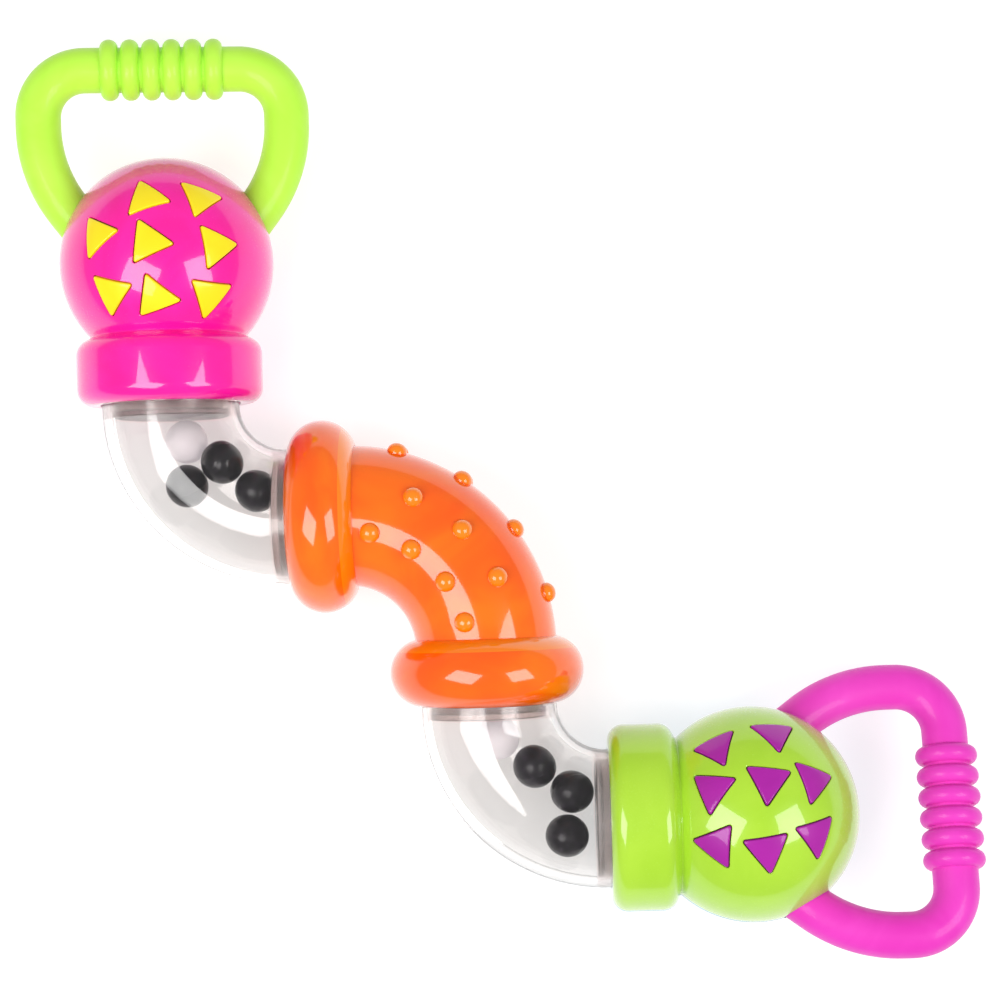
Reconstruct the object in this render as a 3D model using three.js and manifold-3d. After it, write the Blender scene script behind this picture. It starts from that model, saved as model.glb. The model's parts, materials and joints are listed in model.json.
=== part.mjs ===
// Twist-and-rattle baby toy: two ball heads with ribbed loop handles, joined by
// a clear elbow, a bumpy orange elbow and a second clear elbow.  Loose beads run
// in the clear elbows, and every elbow end turns in the piece next to it.
//
// Millimetres, +Z up.  The toy lies flat: all four swivel axes are in one plane
// parallel to XY.  +Y points from the orange elbow's bend to the upper head's
// handle, +X to the lower head's handle.  The origin is under the middle of the
// toy, at the height of its lowest point.

import * as THREE from 'three';
import { mergeVertices } from 'three/addons/utils/BufferGeometryUtils.js';
import Module from 'manifold-3d';

const wasm = await Module();
wasm.setup();

// ---------------------------------------------------------------- dimensions

// Clear elbow
const TUBE_R = 17.05;           // outside radius of the clear tube
const TUBE_WALL = 2.1;
const CLEAR_BEND_R = 28.9;      // bend radius of its centre line
const CLEAR_STUB = 0.2;         // straight stretch between the bend and the socket's face
const RIM_PROUD = 2.3;          // the rim on each end stands this far out of the tube
const RIM_THICK = 2.4;
const TAIL = 2.0;               // tube beyond the rim

// Socket that the rim turns in: in each head's collar and each orange ring
const SWIVEL_GAP = 0.3;         // radial running clearance
const END_GAP = 0.3;            // axial running clearance
const LIP = 3.0;                // wall between the socket's face and its groove

// Ball head
const BALL_R = 26.6;
const SHELL_WALL = 2.2;
const NECK_WALL = 2.25;         // neck's outside beyond the tube's
const COLLAR_WALL = 3.45;       // collar's outside beyond the groove
const COLLAR_LENGTH = 17.0;     // from the neck to the open face
const COLLAR_FACE_ROUND = 4.0;
const COLLAR_BACK_ROUND = 3.0;

// Raised triangles on the ball
const TRIANGLE_R = 6.3;         // centre to the corner before rounding
const TRIANGLE_ROUND = 0.5;
const TRIANGLE_PROUD = 0.3;     // face above the ball
const WINDOW_GAP = 0.35;        // around each triangle, in its window
const INSERT_WALL = 1.5;
const INSERT_GAP = 0.9;         // between the insert and the shell
const INSERT_SPREAD = 50;       // degrees from the ball's front to the insert's rim

// Loop handle
const HANDLE_R = 5.65;
const HANDLE_REACH = 49.2;      // ball centre to the bar's centre line
const HANDLE_SPAN = 30.9;       // half the distance between the limbs' centre lines
const HANDLE_CORNER_R = 11.7;
const HANDLE_DROP = 2.4;        // straight stretch below each corner
const LIMB_BEND_R = 35;
const LIMB_BEND = 37;           // degrees each limb turns in towards the ball
const RIBS = 6;
const RIB_PITCH = 5.2;
const RIB_HEIGHT = 2.0;
const RIB_LAND = 0.35;          // half the flat valley between two ribs
const FOOT_R = 7.0;             // disc on each end, inside the ball
const FOOT_THICK = 1.8;
const HANDLE_GAP = 0.3;         // around the handle and before its foot
const BOSS_WALL = 2.1;          // sleeve around the handle's end, inside the ball

// Orange elbow
const ORANGE_R = 17.6;
const ORANGE_WALL = 2.3;
const ORANGE_BEND_R = 33.8;
const ORANGE_STUB = 5.8;        // straight stretch between the bend and a ring's middle
const RING_WALL = 4.45;         // ring's outside beyond the groove
const RING_CROWN = 8.25;        // radial half-axis of the ring's oval section
const RING_HALF = 8.5;          // axial half-axis of the same section
const BUMP_R = 2.5;
const BUMP_PROUD = 2.2;

// Plugs and beads in the clear elbow
const PLUG_GAP = 0.45;
const PLUG_PROUD = 3.2;         // plug's face beyond the socket's face
const PLUG_WALL = 1.4;
const SNAP_PROUD = 0.9;         // snap ridge that the tube's rim holds
const SNAP_THICK = 1.0;
const BEAD_R = 5.5;
const BEAD_GAP = 0.45;          // between a bead and the bore
const BEAD_SPACE = 0.2;         // least distance to another bead or a plug, at rest

// Rest position, in degrees
const UPPER_HEAD_TURN = 6.6;
const LOWER_HEAD_TURN = -15.4;

const SPLIT_GAP = 0.3;          // between the two halves of every shell
const ROUND_SIDES = 20;         // sides of the revolved pieces and clear tubes
const BEND_STEPS = 9;           // steps along a quarter bend
const HANDLE_SIDES = 8;
const SETTLE_PASSES = 400;      // rounds of rolling the beads apart
const LARGE = 400;              // larger than any piece

// ------------------------------------------------------- sizes that follow

const BORE_R = TUBE_R + SWIVEL_GAP;
const RIM_R = TUBE_R + RIM_PROUD;
const GROOVE_R = RIM_R + SWIVEL_GAP;
const GROOVE_WIDTH = RIM_THICK + 2 * END_GAP;
const RIM_START = LIP + END_GAP;
const TUBE_END = RIM_START + RIM_THICK + TAIL;
const SOCKET_DEPTH = TUBE_END + END_GAP;
const TUBE_INNER_R = TUBE_R - TUBE_WALL;

const COLLAR_R = GROOVE_R + COLLAR_WALL;
const NECK_R = TUBE_R + NECK_WALL;
const NECK_AT = Math.sqrt(BALL_R ** 2 - NECK_R ** 2);
const BALL_TO_FACE = NECK_AT + COLLAR_LENGTH;
const BALL_INNER_R = BALL_R - SHELL_WALL;

const RING_R = GROOVE_R + RING_WALL;
const RING_MIDDLE_R = RING_R - RING_CROWN;
const RING_FACE = RING_HALF * Math.sqrt(1 - ((BORE_R - RING_MIDDLE_R) / RING_CROWN) ** 2);

const CLEAR_CORNER_TO_FACE = CLEAR_BEND_R + CLEAR_STUB;
const ORANGE_CORNER_TO_RING = ORANGE_BEND_R + ORANGE_STUB;
const CORNER_TO_CORNER = ORANGE_CORNER_TO_RING + RING_FACE + CLEAR_CORNER_TO_FACE;
const BALL_TO_CORNER = BALL_TO_FACE + CLEAR_CORNER_TO_FACE;

const PLUG_R = TUBE_INNER_R - PLUG_GAP;
const BEAD_LANE = TUBE_INNER_R - BEAD_R - BEAD_GAP;

const radians = THREE.MathUtils.degToRad;

// ------------------------------------------------------------ solid helpers

// A closed three.js geometry as a solid.  Repeated vertices are merged, faces
// that shrink to a line are dropped, and a shape that is inside out is turned.
function solid(geometry) {
  const bare = geometry.clone();
  bare.deleteAttribute('normal');
  bare.deleteAttribute('uv');
  const merged = mergeVertices(bare, 1e-4);
  const places = merged.attributes.position;
  const corners = Array.from(merged.index.array);
  const faces = [];
  let volume = 0;
  const [a, b, c] = [new THREE.Vector3(), new THREE.Vector3(), new THREE.Vector3()];
  for (let i = 0; i < corners.length; i += 3) {
    const [p, q, r] = corners.slice(i, i + 3);
    if (p === q || q === r || r === p) continue;
    faces.push([p, q, r]);
    a.fromBufferAttribute(places, p);
    b.fromBufferAttribute(places, q);
    c.fromBufferAttribute(places, r);
    volume += a.dot(b.cross(c));
  }
  if (volume < 0) faces.forEach((face) => face.reverse());
  return new wasm.Manifold(new wasm.Mesh({
    numProp: 3,
    vertProperties: Float32Array.from(places.array),
    triVerts: Uint32Array.from(faces.flat()),
  }));
}

function geometryOf(shape) {
  const mesh = shape.getMesh();
  const geometry = new THREE.BufferGeometry();
  geometry.setAttribute('position', new THREE.BufferAttribute(mesh.vertProperties, 3));
  geometry.setIndex(new THREE.BufferAttribute(mesh.triVerts, 1));
  geometry.computeVertexNormals();
  return geometry;
}

// Revolves an outline of [radius, height] points about Y.
function turned(outline, sides = ROUND_SIDES) {
  const points = outline.map(([r, y]) => new THREE.Vector2(r, y));
  if (points[0].x > 0) points.push(points[0].clone());
  return solid(new THREE.LatheGeometry(points, sides));
}

// Points of an arc about (r, y), from one angle to another, in degrees.
function arc(r, y, radius, from, to, steps, heightRadius = radius) {
  const points = [];
  for (let i = 0; i <= steps; i += 1) {
    const angle = radians(from + (to - from) * i / steps);
    points.push([r + radius * Math.cos(angle), y + heightRadius * Math.sin(angle)]);
  }
  return points;
}

function disc(radius, from, to, sides = ROUND_SIDES) {
  return turned([[0, from], [radius, from], [radius, to], [0, to]], sides);
}

// A flat line in the XY plane whose stations are given one by one.
class Route extends THREE.Curve {
  constructor(points, headings) {
    super();
    this.points = points;
    this.headings = headings;
  }

  get steps() {
    return this.points.length - 1;
  }

  getUtoTmapping(u) {
    return u;
  }

  getPoint(t) {
    return this.points[Math.round(t * this.steps)].clone();
  }

  getTangent(t) {
    return this.headings[Math.round(t * this.steps)].clone();
  }
}

// Builds a route from straight lengths and bends, starting at (x, y).
function route(x, y, heading, moves) {
  const place = new THREE.Vector3(x, y, 0);
  const points = [place.clone()];
  let angle = heading;
  const direction = () => new THREE.Vector3(Math.cos(radians(angle)), Math.sin(radians(angle)), 0);
  const headings = [direction()];
  const put = () => {
    points.push(place.clone());
    headings.push(direction());
  };
  for (const { straight, radius, turn, steps } of moves) {
    if (straight !== undefined) {
      place.addScaledVector(direction(), straight);
      put();
      continue;
    }
    const side = Math.sign(turn);
    const toCentre = direction().applyAxisAngle(new THREE.Vector3(0, 0, 1), side * Math.PI / 2);
    const centre = place.clone().addScaledVector(toCentre, radius);
    for (let i = 0; i < steps; i += 1) {
      angle += turn / steps;
      const out = direction().applyAxisAngle(new THREE.Vector3(0, 0, 1), -side * Math.PI / 2);
      place.copy(centre).addScaledVector(out, radius);
      put();
    }
  }
  return new Route(points, headings);
}

function swept(path, radius, sides) {
  const section = new THREE.Shape();
  for (let i = 0; i < sides; i += 1) {
    const angle = 2 * Math.PI * i / sides;
    const x = radius * Math.cos(angle);
    const y = radius * Math.sin(angle);
    if (i === 0) section.moveTo(x, y);
    else section.lineTo(x, y);
  }
  section.closePath();
  return solid(new THREE.ExtrudeGeometry(section, { steps: path.steps, extrudePath: path }));
}

// The part of a shape in front of or behind the plane in which the shells meet.
function half(shape, side) {
  const block = new THREE.BoxGeometry(LARGE, LARGE, LARGE);
  block.translate(0, 0, side * (LARGE + SPLIT_GAP) / 2);
  return shape.intersect(solid(block));
}

function placed(shape, matrix) {
  return shape.transform(matrix.elements);
}

function named(name, shape, material) {
  const mesh = new THREE.Mesh(geometryOf(shape), material);
  mesh.name = name;
  return mesh;
}

function group(...members) {
  const holder = new THREE.Group();
  holder.add(...members);
  return holder;
}

// ---------------------------------------------------------------- materials

function plastic(color, roughness = 0.25) {
  return new THREE.MeshStandardMaterial({ color, roughness, metalness: 0 });
}

function clearPlastic() {
  const material = plastic('#e8f0f2', 0.08);
  material.transparent = true;
  material.opacity = 0.35;
  return material;
}

// ------------------------------------------------------------------ sockets

// Stepped hole that an elbow's rim turns in.  The face is at y = 0 and the hole
// runs to -y, and on through a passage to the given depth.
function socketHole(passageR, depth) {
  const outline = [
    [0, 1], [BORE_R, 1], [BORE_R, -LIP], [GROOVE_R, -LIP],
    [GROOVE_R, -LIP - GROOVE_WIDTH], [BORE_R, -LIP - GROOVE_WIDTH],
    [BORE_R, -SOCKET_DEPTH], [passageR, -SOCKET_DEPTH], [passageR, -depth], [0, -depth],
  ];
  return turned(outline);
}

// --------------------------------------------------------------- ball heads

// In a head's own frame the ball's centre is the origin, the handle is at +Y,
// the collar at -Y and the front faces +Z.

// Ball, neck and collar as one solid of revolution.
function headBody() {
  const back = COLLAR_BACK_ROUND;
  const face = COLLAR_FACE_ROUND;
  const slope = COLLAR_R - back * (1 - Math.SQRT1_2) - NECK_R;
  const shoulder = -NECK_AT - slope - back * Math.SQRT1_2;
  const neckAngle = -THREE.MathUtils.radToDeg(Math.atan2(NECK_AT, NECK_R));
  return turned([
    [0, -BALL_TO_FACE],
    ...arc(COLLAR_R - face, -BALL_TO_FACE + face, face, -90, 0, 3),
    ...arc(COLLAR_R - back, shoulder, back, 0, 45, 2),
    ...arc(0, 0, BALL_R, neckAngle, 90, 9),
  ]);
}

function headHollow() {
  const passageR = NECK_R - SHELL_WALL;
  const passageAt = Math.sqrt(BALL_INNER_R ** 2 - passageR ** 2);
  const mouth = -THREE.MathUtils.radToDeg(Math.atan2(passageAt, passageR));
  const ball = turned([[0, -passageAt], ...arc(0, 0, BALL_INNER_R, mouth, 90, 7)]);
  const hole = socketHole(passageR, BALL_TO_FACE - passageAt + SHELL_WALL);
  const turn = new THREE.Matrix4().makeTranslation(0, -BALL_TO_FACE, 0);
  turn.multiply(new THREE.Matrix4().makeRotationX(Math.PI));
  return ball.add(placed(hole, turn));
}

// Raised triangles: how far each leans from the ball's front, in which
// direction, and how it is turned, all in degrees.
const TRIANGLES = [
  { lean: 9, bearing: 146, turn: 113 },
  { lean: 25, bearing: 259, turn: 111 },
  { lean: 29, bearing: 6, turn: 9 },
  { lean: 32, bearing: 106, turn: 105 },
  { lean: 35, bearing: 316, turn: 14 },
  { lean: 37, bearing: 216, turn: 26 },
  { lean: 38, bearing: 56, turn: 19 },
  { lean: 39, bearing: 163, turn: -1 },
];

// Turns +Z to the triangle's place while its own X stays as near to the ball's X
// as it can, then turns the triangle in its plane.
function triangleFrame({ lean, bearing, turn }) {
  const out = new THREE.Vector3(
    Math.sin(radians(lean)) * Math.cos(radians(bearing)),
    Math.sin(radians(lean)) * Math.sin(radians(bearing)),
    Math.cos(radians(lean)),
  );
  const across = new THREE.Vector3(1, 0, 0).addScaledVector(out, -out.x).normalize();
  const up = out.clone().cross(across);
  const frame = new THREE.Matrix4().makeBasis(across, up, out);
  return frame.multiply(new THREE.Matrix4().makeRotationZ(radians(turn)));
}

// Rounded triangle prism from one distance to another along its own Z.
function trianglePrism(grow, from, to) {
  const round = TRIANGLE_ROUND + grow;
  const reach = TRIANGLE_R - 2 * TRIANGLE_ROUND;
  const outline = new THREE.Shape();
  for (let corner = 0; corner < 3; corner += 1) {
    const angle = radians(120 * corner);
    const x = reach * Math.cos(angle);
    const y = reach * Math.sin(angle);
    outline.absarc(x, y, round, angle - Math.PI / 3, angle + Math.PI / 3, false);
  }
  const prism = new THREE.ExtrudeGeometry(outline, {
    depth: to - from, bevelEnabled: false, curveSegments: 2,
  });
  prism.translate(0, 0, from);
  return solid(prism);
}

function triangleSet(grow, from, to) {
  const prism = trianglePrism(grow, from, to);
  const copies = TRIANGLES.map((triangle) => placed(prism, triangleFrame(triangle)));
  return copies.reduce((all, one) => all.add(one));
}

// Domed plate behind the shell, with a stud through each window.
function triangleInsert() {
  const outer = BALL_INNER_R - INSERT_GAP;
  const inner = outer - INSERT_WALL;
  const edge = 90 - INSERT_SPREAD;
  const plate = turned([
    ...arc(0, 0, outer, edge, 90, 3),
    ...arc(0, 0, inner, 90, edge, 2),
  ], 12);
  const facing = new THREE.Matrix4().makeRotationX(Math.PI / 2);
  const studs = triangleSet(0, outer - INSERT_WALL / 2, BALL_R + TRIANGLE_PROUD);
  return placed(plate, facing).add(studs);
}

// ------------------------------------------------------------- loop handle

// Half of the loop's centre line, from the middle of the bar to a limb's end.
function handleTurns() {
  return [
    { radius: HANDLE_CORNER_R, turn: -90, steps: 5 },
    { straight: HANDLE_DROP },
    { radius: LIMB_BEND_R, turn: -LIMB_BEND, steps: 3 },
  ];
}

// Where the limb's bend ends, and how far on its foot lies: its rim comes close
// to the inside of the ball.
function limbEnd() {
  const turns = [{ straight: HANDLE_SPAN - HANDLE_CORNER_R }, ...handleTurns()];
  const line = route(0, HANDLE_REACH, 0, turns);
  const place = line.points[line.steps];
  const heading = line.headings[line.steps];
  const nearest = -place.dot(heading);
  const offset = place.clone().addScaledVector(heading, nearest).length();
  const room = Math.sqrt(BALL_INNER_R ** 2 - (offset + FOOT_R + 2 * HANDLE_GAP) ** 2);
  return { place, heading, footAt: nearest - room };
}

function handleLine() {
  const { footAt } = limbEnd();
  const toFoot = footAt + FOOT_THICK / 2;
  const turns = handleTurns();
  const back = [...turns].reverse();
  const bar = { straight: 2 * (HANDLE_SPAN - HANDLE_CORNER_R) };
  const { place, heading } = limbEnd();
  const x = -(place.x + heading.x * toFoot);
  const y = place.y + heading.y * toFoot;
  const limb = { straight: toFoot };
  return route(x, y, 90 + LIMB_BEND, [limb, ...back, bar, ...turns, limb]);
}

// Turns +Y along a limb's end, away from the ball's middle, at the foot's place.
function limbFrame(side) {
  const { place, heading, footAt } = limbEnd();
  const at = place.clone().addScaledVector(heading, footAt);
  const frame = new THREE.Matrix4().makeTranslation(side * at.x, at.y, 0);
  return frame.multiply(new THREE.Matrix4().makeRotationZ(-side * radians(LIMB_BEND)));
}

function handle() {
  const ribs = [];
  const first = -RIBS * RIB_PITCH / 2;
  for (let i = 0; i < RIBS; i += 1) {
    const middle = first + (i + 0.5) * RIB_PITCH;
    ribs.push(...arc(HANDLE_R, middle, RIB_HEIGHT, -90, 90, 3, RIB_PITCH / 2 - RIB_LAND));
  }
  const ends = [[HANDLE_R, -first], [0, -first]];
  const grip = turned([[0, first], [HANDLE_R, first], ...ribs, ...ends], HANDLE_SIDES);
  const across = new THREE.Matrix4().makeTranslation(0, HANDLE_REACH, 0);
  across.multiply(new THREE.Matrix4().makeRotationZ(Math.PI / 2));
  let shape = swept(handleLine(), HANDLE_R, HANDLE_SIDES).add(placed(grip, across));
  for (const side of [-1, 1]) {
    shape = shape.add(placed(disc(FOOT_R, -FOOT_THICK, 0, 12), limbFrame(side)));
  }
  return shape;
}

// Sleeves that hold the handle's ends in front of their feet.
function handleSleeves() {
  const inside = solid(new THREE.SphereGeometry(BALL_R - SHELL_WALL / 2, 16, 10));
  const length = BALL_R;
  const sleeve = disc(HANDLE_R + HANDLE_GAP + BOSS_WALL, HANDLE_GAP, length, 12);
  return placed(sleeve, limbFrame(-1)).add(placed(sleeve, limbFrame(1))).intersect(inside);
}

function headShell(side) {
  const handleHole = swept(handleLine(), HANDLE_R + HANDLE_GAP, HANDLE_SIDES);
  const turn = side > 0 ? new THREE.Matrix4() : new THREE.Matrix4().makeRotationY(Math.PI);
  const windows = placed(triangleSet(WINDOW_GAP, BALL_INNER_R - SHELL_WALL, BALL_R + SHELL_WALL), turn);
  const shell = headBody().subtract(headHollow()).add(handleSleeves());
  return half(shell.subtract(handleHole).subtract(windows), side);
}

function head(name, colours) {
  const rearInsert = placed(triangleInsert(), new THREE.Matrix4().makeRotationY(Math.PI));
  return group(
    named(`${name}_front_shell`, headShell(1), plastic(colours.front)),
    named(`${name}_rear_shell`, headShell(-1), plastic(colours.rear)),
    named(`${name}_front_triangles`, triangleInsert(), plastic(colours.triangles, 0.35)),
    named(`${name}_rear_triangles`, rearInsert, plastic(colours.triangles, 0.35)),
    named(`${name}_handle`, handle(), plastic(colours.handle, 0.4)),
  );
}

// ------------------------------------------------------------- clear elbows

// In an elbow's own frame the corner where its two axes cross is the origin and
// its legs point to +Y and to +X.

// Puts what is made along +Y, with a socket's face at y = 0, on one of the legs.
function legFrame(leg, cornerToFace) {
  const onY = new THREE.Matrix4().makeTranslation(0, cornerToFace, 0);
  if (leg === 'y') return onY;
  const swap = new THREE.Matrix4().makeBasis(
    new THREE.Vector3(0, 1, 0), new THREE.Vector3(1, 0, 0), new THREE.Vector3(0, 0, -1),
  );
  return swap.multiply(onY);
}

function onBothLegs(shape, cornerToFace) {
  return placed(shape, legFrame('y', cornerToFace)).add(placed(shape, legFrame('x', cornerToFace)));
}

function elbowLine(bendR, leg) {
  return route(0, bendR + leg, -90, [
    { straight: leg },
    { radius: bendR, turn: 90, steps: BEND_STEPS },
    { straight: leg },
  ]);
}

function clearElbow() {
  const leg = CLEAR_STUB + TUBE_END;
  const rim = disc(RIM_R, RIM_START, RIM_START + RIM_THICK);
  const middle = RIM_START + RIM_THICK / 2;
  const snap = SNAP_THICK / 2 + END_GAP;
  const snapGroove = disc(TUBE_INNER_R + SNAP_PROUD + PLUG_GAP, middle - snap, middle + snap);
  const outside = swept(elbowLine(CLEAR_BEND_R, leg), TUBE_R, ROUND_SIDES);
  const inside = swept(elbowLine(CLEAR_BEND_R, leg + 1), TUBE_INNER_R, ROUND_SIDES);
  return outside.add(onBothLegs(rim, CLEAR_CORNER_TO_FACE))
    .subtract(inside)
    .subtract(onBothLegs(snapGroove, CLEAR_CORNER_TO_FACE));
}

// Cup that closes the bead chamber, its snap ridge held in the tube's groove.
function plug() {
  const middle = RIM_START + RIM_THICK / 2;
  const low = middle - SNAP_THICK / 2;
  const high = middle + SNAP_THICK / 2;
  const ridge = PLUG_R + PLUG_GAP + SNAP_PROUD;
  const wall = PLUG_R - PLUG_WALL;
  return turned([
    [0, -PLUG_PROUD], [PLUG_R, -PLUG_PROUD], [PLUG_R, low], [ridge, low], [ridge, high],
    [wall, high], [wall, PLUG_WALL - PLUG_PROUD], [0, PLUG_WALL - PLUG_PROUD],
  ]);
}

// A bead rolls round the inside of the tube, so its place is how far along the
// bend it lies, from the +Y leg, and how far round from the bottom of the bore
// towards the outside of the bend, both in radians.
function beadPlace(along, round) {
  const reach = CLEAR_BEND_R + BEAD_LANE * Math.sin(round);
  return new THREE.Vector3(
    CLEAR_BEND_R - reach * Math.cos(along),
    CLEAR_BEND_R - reach * Math.sin(along),
    -BEAD_LANE * Math.cos(round),
  );
}

// The nearest place to this one at which a bead touches the bore.
function onBore(place) {
  const x = CLEAR_BEND_R - place.x;
  const y = CLEAR_BEND_R - place.y;
  return beadPlace(Math.atan2(y, x), Math.atan2(Math.hypot(x, y) - CLEAR_BEND_R, -place.z));
}

// The beads' rest places.  Where beads or plugs are too close for the beads'
// size, the beads roll apart along the bore.
function settled(beads) {
  const apart = 2 * BEAD_R + BEAD_SPACE;
  const end = CLEAR_CORNER_TO_FACE - PLUG_PROUD - BEAD_R - BEAD_SPACE;
  let places = beads.map(({ along, round }) => beadPlace(radians(along), radians(round)));
  for (let pass = 0; pass < SETTLE_PASSES; pass += 1) {
    places.forEach((one, i) => {
      places.slice(i + 1).forEach((other) => {
        const between = other.clone().sub(one);
        const push = Math.max(0, apart - between.length()) / 2;
        one.addScaledVector(between.normalize(), -push);
        other.addScaledVector(between, push);
      });
      one.x = Math.min(one.x, end);
      one.y = Math.min(one.y, end);
    });
    places = places.map(onBore);
  }
  return places;
}

const UPPER_BEADS = {
  white_bead: { along: 18, round: -7 },
  black_bead_1: { along: 37, round: 29 },
  black_bead_2: { along: 40, round: -48 },
  black_bead_3: { along: 68, round: -39 },
};

const LOWER_BEADS = {
  white_bead: { along: 18, round: -4 },
  black_bead_1: { along: 42, round: -33 },
  black_bead_2: { along: 69, round: -31 },
  black_bead_3: { along: 73, round: 46 },
};

function bead(name, place) {
  const colour = name.includes('white') ? '#eee6e6' : '#35303a';
  const mesh = named(name, solid(new THREE.SphereGeometry(BEAD_R, 10, 6)), plastic(colour, 0.3));
  mesh.position.copy(place);
  return mesh;
}

function clearElbowSet(name, beads, plugNames) {
  const tube = clearElbow();
  const [onY, onX] = ['y', 'x'].map((leg) => placed(plug(), legFrame(leg, CLEAR_CORNER_TO_FACE)));
  const places = settled(Object.values(beads));
  const loose = Object.keys(beads).map((which, i) => bead(`${name}_${which}`, places[i]));
  return group(
    named(`${name}_clear_elbow_front`, half(tube, 1), clearPlastic()),
    named(`${name}_clear_elbow_rear`, half(tube, -1), clearPlastic()),
    named(`${name}_${plugNames[0]}`, onY, clearPlastic()),
    named(`${name}_${plugNames[1]}`, onX, clearPlastic()),
    ...loose,
  );
}

// ------------------------------------------------------------- orange elbow

// Its legs point to -X and -Y: it is made with its legs to +Y and +X and turned
// half a turn.  Rows of bumps run along the bend, the same on both halves: how
// far round each row lies from the outside of the bend, and the bumps' places
// along the bend, all in degrees.
const BUMP_ROWS = [
  { round: 13, along: [15, 35, 55, 75] },
  { round: 65, along: [25, 45, 65] },
  { round: 103, along: [13, 34, 56, 77] },
];

function bumps() {
  const root = ORANGE_R - ORANGE_WALL / 2;
  const lift = ORANGE_R - root;
  const dome = turned([
    [0, -lift], [BUMP_R, -lift],
    ...arc(0, 0, BUMP_R, 0, 90, 2, BUMP_PROUD),
  ], 6);
  const all = [];
  for (const { round, along } of BUMP_ROWS) {
    for (const side of [-1, 1]) {
      const lean = new THREE.Matrix4().makeTranslation(-ORANGE_BEND_R, 0, 0);
      lean.multiply(new THREE.Matrix4().makeRotationY(side * radians(round)));
      lean.multiply(new THREE.Matrix4().makeTranslation(-ORANGE_R, 0, 0));
      lean.multiply(new THREE.Matrix4().makeRotationZ(Math.PI / 2));
      for (const angle of along) {
        const place = new THREE.Matrix4().makeTranslation(ORANGE_BEND_R, ORANGE_BEND_R, 0);
        place.multiply(new THREE.Matrix4().makeRotationZ(radians(angle)));
        all.push(placed(dome, place.multiply(lean)));
      }
    }
  }
  return all.reduce((sum, one) => sum.add(one));
}

function orangeElbow() {
  const ring = turned([
    [0, -RING_HALF], ...arc(RING_MIDDLE_R, 0, RING_CROWN, -90, 90, 7, RING_HALF), [0, RING_HALF],
  ]);
  const leg = ORANGE_STUB;
  const faceAt = ORANGE_CORNER_TO_RING + RING_FACE;
  const hole = socketHole(ORANGE_R - ORANGE_WALL, RING_FACE + ORANGE_STUB / 2);
  const outside = swept(elbowLine(ORANGE_BEND_R, leg), ORANGE_R, ROUND_SIDES);
  const inside = swept(elbowLine(ORANGE_BEND_R, leg), ORANGE_R - ORANGE_WALL, ROUND_SIDES);
  const shape = outside.add(onBothLegs(ring, ORANGE_CORNER_TO_RING))
    .add(bumps())
    .subtract(inside)
    .subtract(onBothLegs(hole, faceAt));
  return placed(shape, new THREE.Matrix4().makeRotationZ(Math.PI));
}

function orangeElbowSet() {
  const elbow = orangeElbow();
  return group(
    named('orange_elbow_front', half(elbow, 1), plastic('#ff7a1a')),
    named('orange_elbow_rear', half(elbow, -1), plastic('#ff7a1a')),
  );
}

// ----------------------------------------------------------------- assembly

function assembled(shape, x, y, quarterTurn = 0, headTurn = 0) {
  const turn = group(shape);
  shape.rotation.y = radians(headTurn);
  turn.rotation.z = quarterTurn;
  turn.position.set(x, y, 0);
  return turn;
}

const upperHead = head('upper', {
  front: '#ff30a8', rear: '#ff30a8', triangles: '#ffe132', handle: '#c3ff64',
});
const lowerHead = head('lower', {
  front: '#b4e846', rear: '#5ab4be', triangles: '#a53ca0', handle: '#eb4bcd',
});
const upperElbow = clearElbowSet('upper', UPPER_BEADS, ['head_plug', 'middle_plug']);
const lowerElbow = clearElbowSet('lower', LOWER_BEADS, ['middle_plug', 'head_plug']);

const toy = group(
  orangeElbowSet(),
  assembled(upperElbow, -CORNER_TO_CORNER, 0),
  assembled(lowerElbow, 0, -CORNER_TO_CORNER),
  assembled(upperHead, -CORNER_TO_CORNER, BALL_TO_CORNER, 0, UPPER_HEAD_TURN),
  assembled(lowerHead, BALL_TO_CORNER, -CORNER_TO_CORNER, -Math.PI / 2, LOWER_HEAD_TURN),
);

toy.updateMatrixWorld(true);
const extent = new THREE.Box3().setFromObject(toy, true);
const middle = extent.getCenter(new THREE.Vector3());
toy.position.set(-middle.x, -middle.y, -extent.min.z);
toy.updateMatrixWorld(true);

export default toy;
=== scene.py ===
import json
from math import asin, atan2, cos, degrees, pi, radians, sin, sqrt, tan

import bmesh
import bpy
from mathutils import Matrix, Vector


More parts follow.
